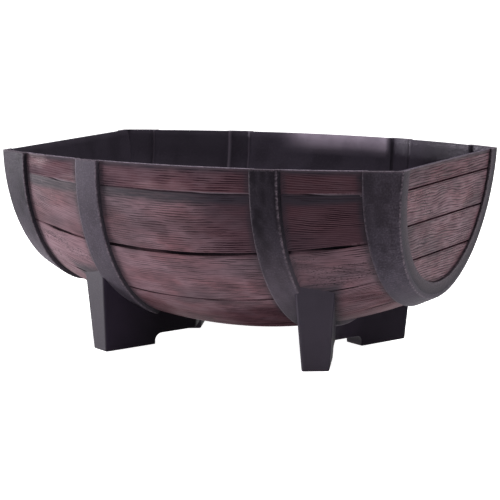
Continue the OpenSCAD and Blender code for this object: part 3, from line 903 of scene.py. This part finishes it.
heads = {
    "thickness": 4.0,
    "planks": [0.0, 23.0, 63.5, 104.0],   # grooves, measured down the head from the rim
    "grooveHalf": 1.3,
    "grooveDepth": 1.5,
    "grooveInk": 0.85,
    "grainPitch": 2.9,
    "grainDepth": 0.34,
    "columns": 96,
    "warp": 5.0,
    "edgeOff": -0.7,   # the head runs behind the ledge, out to the wall
    "insideStep": 8,
    "firstBoard": 40,   # board numbers apart from the staves'
    "leftInnerShade": 0.75,   # painted shade on the inner side of the left head
}


def halfWidth(z, depth):   # of a head at a height
    r = radiusAt(endPlaneX(z, depth), heads["edgeOff"])
    return np.sqrt(np.maximum(r ** 2 - (axisZ - z) ** 2, 0.01))


def makeHead(name, node, side, seed):
    depth, bottom, half = barrel["headDepth"], 90.0, heads["grooveHalf"]
    for _ in range(20):
        bottom = axisZ - radiusAt(endPlaneX(bottom, depth), heads["edgeOff"])
    marks = heads["planks"] + [(rimZ - bottom) / leanCos - 0.25]
    made = [dict(d=0.0, back=0.9), dict(d=0.25, back=0.3)]
    for i in range(len(marks) - 1):
        lowest = i == len(marks) - 2
        top = marks[i] + (half if i else barrel["rimRound"])
        low = marks[i + 1] - (0 if lowest else half)
        total = 3 * round((low - top) / heads["grainPitch"])
        for j in range(total + 1):
            made.append(dict(d=top + (low - top) * j / total, f=j / total, plank=i, line=float(j % 3 == 1),
                             lineId=20 * i + j / 3))
        if not lowest:
            made += [dict(d=marks[i + 1] + shift * half, groove=share, plank=i, lineId=20 * i + 19)
                     for shift, share in ((-0.6, 0.85), (0.0, 1.0), (0.6, 0.85))]

    keys = ("plank", "f", "line", "lineId", "d", "back", "groove")
    plank, f, line, lineId, d, sunk, groove = (rowField(made, key) for key in keys)
    across = np.linspace(-1, 1, heads["columns"] + 1)[None, :]
    flatZ = rimZ - d * leanCos
    y = across * halfWidth(flatZ, depth)
    wander = gridNoise(y / 48 + 4 * plank, f * 2.4 + 6 * plank, seed) - 0.5
    wander += 0.4 * (gridNoise(y / 17, f * 6 + 4 * plank, seed + 1) - 0.5)
    z = flatZ + heads["warp"] * wander * 4 * f * (1 - f) * np.where(plank == 3, 0.4, 1.0)
    y = across * halfWidth(z, depth)
    down = (rimZ - z) / leanCos
    fromWall = radiusAt(endPlaneX(z, depth), barrel["chimeOff"]) - np.hypot(y, axisZ - z)
    cloud = layeredNoise(y / 30 + seed, down / 13, seed + 2)
    lineNumber = np.floor(lineId + 0.01)
    strength = 0.3 + 0.7 * ramp(gridNoise(y / 16 + 7 * lineNumber, lineNumber + 0 * y, seed + 3), 0.25, 0.5)
    strength *= 0.35 + 0.65 * ramp(layeredNoise(y / 50 + 8, down / 22, seed + 4), 0.34, 0.5)
    strength *= ramp(fromWall, -1.0, 2.0) * ramp(down, 0.5, 3.0)
    fleck = ramp(layeredNoise(y / 26 + 3.3, down / 12 + 0.4, seed + 6), 0.52, 0.68)
    flow = 0.25 * layeredNoise(y / 40, down / 14, seed + 7) * ramp(down, 0.5, 3.0)
    back = sunk + heads["grainDepth"] * line * strength + heads["grooveDepth"] * groove + flow
    front = np.stack([side * endPlaneX(z, depth + back), y, z], axis=-1)
    bare = np.maximum.reduce([ramp(fromWall, 4.5, 0.5) * (0.45 + 0.7 * cloud),
                              ramp(down, 6.0, 1.5) * (0.4 + 0.8 * cloud),
                              0.5 * ramp(layeredNoise(y / 60, down / 30 + 5, seed + 8), 0.52, 0.75)])
    tone = np.clip(1.9 * layeredNoise(y / 36, down / 16 + 2, seed + 9) - 0.15, 0, 1)

    # Flat rear side from a part of the rows
    keep = [0, 1, 2] + list(range(9, len(made) - 4, heads["insideStep"])) + [len(made) - 1]
    rearZ = flatZ[keep]
    rearY = across * halfWidth(rearZ, depth + heads["thickness"])
    rearX = side * endPlaneX(rearZ, depth + heads["thickness"] - sunk[keep])
    rear = np.stack(np.broadcast_arrays(rearX, rearY, rearZ), axis=-1)
    outer = pointIds(z)
    inner = pointIds(rearY, outer.size)
    faces = shellFaces(outer, inner, keep)
    if side < 0:
        faces = [face[::-1] for face in faces]
    kinds = np.ones(len(faces), dtype=int)
    painted = np.repeat(sunk[:-1] == 0, heads["columns"])
    kinds[:painted.size] = ~painted
    values = shellValues(outer, inner, (y * mm, lineId, heads["firstBoard"] + plank), {
        "grain": strength, "fleck": fleck, "tone": tone,
        # darker paint towards the top of the head
        "shadeAndDarkPaint": 0.29 * (1 - ramp(down, 20.0, 30.0)),
        "paleToneAndPaintedLight": 0.3 * ramp(cloud, 0.3, 0.6) * (plank > 0),
        "bare": (np.clip(bare, 0, 1), 1.0),
        "groove": heads["grooveInk"] * groove,
        "edge": 0.5 * ramp(down, 1.5, 0.0),
        "shade": (0.0, heads["leftInnerShade"] if side < 0 else 0.0),
    })
    head = makeObject(name, shellPoints(front, rear), faces, [headPaint, tubPlastic], values, kinds)
    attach(head, "planter")
    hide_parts(node)


makeHead("planked_head_left", "left_head", -1, 201)
makeHead("planked_head_right", "right_head", 1, 231)
print("heads made")

makeLegFrame("splayed_legs_left", "left_leg_frame", -1)
makeLegFrame("splayed_legs_right", "right_leg_frame", 1)
print("leg frames made")

# Screws, washers, pads, drain seat and plug

fixings = {
    "screwAlong": 44.0,   # along the arm from the apex
    "padRadius": 8.5,
    "padWaist": 41.0,
    "padTop": 44.19,
    "hole": 2.8,
    "washerRadius": 7.5,
    "washerThick": 1.6,
    "headRadius": 5.25,
    "headHeight": 3.4,
    "headWall": 1.3,   # upright part of the head
    "shank": 2.5,
    "shankLength": 26.0,
    "tip": 0.6,
    "tipHeight": 2.2,
    "driveRadius": 2.3,
    "driveDepth": 1.8,
}
drain = {
    "hole": 10.0,
    "seatRadius": 18.0,
    "seatWaist": 26.4,
    "seatTop": 29.1,
    "flangeRadius": 15.0,
    "flangeThick": 2.4,
    "plugRadius": 9.65,
    "plugWall": 2.0,
    "plugBottom": 24.0,
    "gripWidth": 4.0,
    "gripLength": 18.6,
    "gripHeight": 9.0,
    "gripFoot": 0.4,   # let into the flange
}
screwOut = legs["apexX"] + fixings["screwAlong"] * sin(armTurn)
screwBack = fixings["screwAlong"] * cos(armTurn)
screwPlaces = [(i * screwOut, j * screwBack) for i in (-1, 1) for j in (-1, 1)]


def roundAngles(count):
    return np.linspace(0, 2 * pi, count, endpoint=False)


# Turned shapes round upright axes, from one profile of (radius, height). A height given as None lies on the
# barrel's skin, and a six-sided stretch is named by the numbers of its points.
def turnedShape(name, profile, material, node=None, body="planter", places=((0.0, 0.0),), closed=True,
                sixSided=(), skinOff=-1.0, segments=48):
    angles = roundAngles(segments)
    points, faces = [], []
    for cx, cy in places:
        start, count = len(points), len(profile)
        for k, (r, z) in enumerate(profile):
            for a in angles:
                here = r
                if k in sixSided:
                    here = r * cos(pi / 6) / cos((a % (pi / 3)) - pi / 6)
                x, y = cx + here * cos(a), cy + here * sin(a)
                points.append((x, y, skinHeight(x, y, skinOff) if z is None else z))
        ids = closedAcross(start + np.arange(count * segments).reshape(count, segments))
        if closed:
            ids = np.concatenate([ids, ids[:1]], axis=0)
        faces += gridFaces(ids, True)
        if not closed:
            faces += [ids[0, :-1][::-1].tolist(), ids[-1, :-1].tolist()]
    shape = makeObject(name, points, faces, [material], sharp=34.0)
    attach(shape, body)
    if node:
        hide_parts(node)


hole, pad, padTop = fixings["hole"], fixings["padRadius"], fixings["padTop"]
turnedShape("screw_pads", [
    (hole, None), (pad + 0.6, None), (pad, fixings["padWaist"]), (pad, padTop - 0.5), (pad - 0.5, padTop),
    (hole + 0.3, padTop), (hole, padTop - 0.3),
], tubPlastic, places=screwPlaces)

washer, washerTop = fixings["washerRadius"], padTop + fixings["washerThick"]
turnedShape("sealing_washers", [
    (hole, padTop + 0.2), (hole + 0.2, padTop), (washer - 0.4, padTop), (washer, padTop + 0.4),
    (washer, washerTop - 0.4), (washer - 0.4, washerTop), (hole + 0.2, washerTop), (hole, washerTop - 0.2),
], washerRubber, node="frame_washers", places=screwPlaces)

screwHead, shank, drive = fixings["headRadius"], fixings["shank"], fixings["driveRadius"]
wallTop, screwTop = washerTop + fixings["headWall"], washerTop + fixings["headHeight"]
tipEnd, driveFloor = washerTop - fixings["shankLength"], screwTop - fixings["driveDepth"]
dome = [(screwHead * cos(t), wallTop + (screwTop - wallTop) * sin(t)) for t in np.radians([18, 36, 54])]
screwProfile = [(fixings["tip"], tipEnd), (shank, tipEnd + fixings["tipHeight"]), (shank, washerTop),
                (screwHead - 0.3, washerTop), (screwHead, washerTop + 0.3), (screwHead, wallTop), *dome,
                (drive + 0.35, screwTop), (drive, screwTop - 0.2), (drive, driveFloor), (0.4, driveFloor)]
socketFrom = len(screwProfile) - 4   # the last point is the middle of the socket's floor
turnedShape("pan_head_screws", screwProfile, screwSteel, node="frame_screws", places=screwPlaces,
            closed=False, sixSided=range(socketFrom, socketFrom + 3))

drainHole, seat, seatTop = drain["hole"], drain["seatRadius"], drain["seatTop"]
turnedShape("drain_seat", [
    (drainHole, None), (seat - 0.5, None), (seat, drain["seatWaist"]), (seat, seatTop - 0.4),
    (seat - 0.4, seatTop), (drainHole + 0.3, seatTop), (drainHole, seatTop - 0.3),
], tubPlastic, skinOff=0.25, segments=72)

flange, flangeTop = drain["flangeRadius"], seatTop + drain["flangeThick"]
stem, hollow, bottom = drain["plugRadius"], drain["plugRadius"] - drain["plugWall"], drain["plugBottom"]
turnedShape("plug_body", [
    (0.5, seatTop), (hollow - 0.5, seatTop), (hollow, seatTop - 0.5), (hollow, bottom + 0.2),
    (hollow + 0.3, bottom), (stem - 0.6, bottom), (stem, bottom + 0.8), (stem, seatTop),
    (flange - 0.3, seatTop), (flange, seatTop + 0.4), (flange, flangeTop - 0.8),
    (flange - 0.3, flangeTop - 0.3), (flange - 0.9, flangeTop), (0.5, flangeTop),
], plugPlastic, node="drain_plug", body="drain_plug", closed=False, segments=72)

# Grip bar with a crowned top and rounded ends
gripSteps = np.linspace(-1, 1, 25)
gripPoints = []
for s in gripSteps:
    endSoft = sqrt(max(0.0, 1 - max(0.0, (abs(s) - 0.86) / 0.14) ** 2))
    half = drain["gripWidth"] / 2 * (0.55 + 0.45 * endSoft)
    tall = drain["gripHeight"] * (0.86 + 0.14 * endSoft) - 0.5 * (1 - s * s)
    soft = half * 0.7
    crown = [(half * cos(t), tall - soft + soft * sin(t)) for t in np.linspace(0, pi, 13)]
    gripPoints += [(x, s * drain["gripLength"] / 2, flangeTop - drain["gripFoot"] + z)
                   for x, z in [(half, 0.0), *crown, (-half, 0.0)]]
ids = np.arange(len(gripPoints)).reshape(len(gripSteps), -1)
gripFaces = gridFaces(closedAcross(ids), False) + [ids[0].tolist(), ids[-1][::-1].tolist()]
grip = makeObject("plug_grip", gripPoints, gripFaces, [plugPlastic], sharp=50.0)
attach(grip, "drain_plug")
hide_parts("drain_plug")
print("fixings and drain made")

# Camera, light and floor

view = {
    "place": (1119.5, -2224.3, 483.7),
    "yaw": 26.75,
    "pitch": 8.53,
    "focal": 2163.0,   # pixels, for a frame 500 pixels wide
    "frame": 500.0,
}
cameraData = bpy.data.cameras.new("camera")
cameraData.sensor_width = 36.0
cameraData.lens = view["focal"] / view["frame"] * cameraData.sensor_width
camera = linkObject("camera", cameraData)
camera.location = [value * mm for value in view["place"]]
camera.rotation_euler = (radians(90 - view["pitch"]), 0.0, radians(view["yaw"]))
bpy.context.scene.camera = camera
bpy.context.scene.view_settings.view_transform = "Standard"

studio = {   # metres
    "sky": (0.07, 0.07, 0.071),
    "floor": (0.8, 0.8, 0.805),
    "floorGlow": 1.0,   # the floor is a lit sweep
    "floorSize": 60.0,
    "floorSides": 96,
    "overhead": 0.35,   # broad light from straight above
    "overheadSpread": 70.0,
    "panels": [   # name, place, aimed at, width, height, watts
        ("left panel", (-2.53, -0.82, 0.2), (0.0, 0.0, 0.14), 1.2, 0.34, 172.0),
        ("front panel", (0.1, -2.7, 0.34), (0.0, 0.0, 0.2), 1.4, 0.16, 9.0),
        ("top panel", (-0.3, -0.9, 2.4), (0.0, 0.1, 0.18), 1.0, 0.7, 52.0),
        ("right panel", (1.75, 0.45, 2.1), (0.2, 0.0, 0.15), 1.2, 0.9, 90.0),
    ],
}
world = bpy.data.worlds.new("studio")
world.use_nodes = True
world.node_tree.nodes["Background"].inputs[0].default_value = (*studio["sky"], 1)
bpy.context.scene.world = world

floorMaterial, floorShader = newMaterial("pale floor", 0.9, 0.0)
paler = tuple(min(1.0, c * 1.01) for c in studio["floor"])
mottled = mixColour(noise(objectPlace(), 2.0), studio["floor"], paler)
setInput(floorShader, "Base Color", mottled)
floorShader.inputs["Emission Color"].default_value = (1.0, 1.0, 1.0, 1.0)
floorShader.inputs["Emission Strength"].default_value = studio["floorGlow"]
sides, reach = studio["floorSides"], studio["floorSize"] / mm
ring = [(reach * cos(a), reach * sin(a), 0.0) for a in roundAngles(sides)]
floor = makeObject("floor", ring, [list(range(sides))], [floorMaterial])


def addLamp(name, kind, place, aim, **settings):
    lampData = bpy.data.lights.new(name, kind)
    for key, value in settings.items():
        setattr(lampData, key, value)
    lamp = linkObject(name, lampData)
    lamp.location = place
    lamp.rotation_euler = Vector(aim).to_track_quat("-Z", "Y").to_euler()


addLamp("overhead", "SUN", (0, 0, 3), (0.0, -0.12, -1.0), energy=studio["overhead"],
        angle=radians(studio["overheadSpread"]))
for name, place, target, width, height, watts in studio["panels"]:
    addLamp(name, "AREA", place, [b - a for a, b in zip(place, target)],
            shape="RECTANGLE", size=width, size_y=height, energy=watts)
print("camera, lamps and floor set")
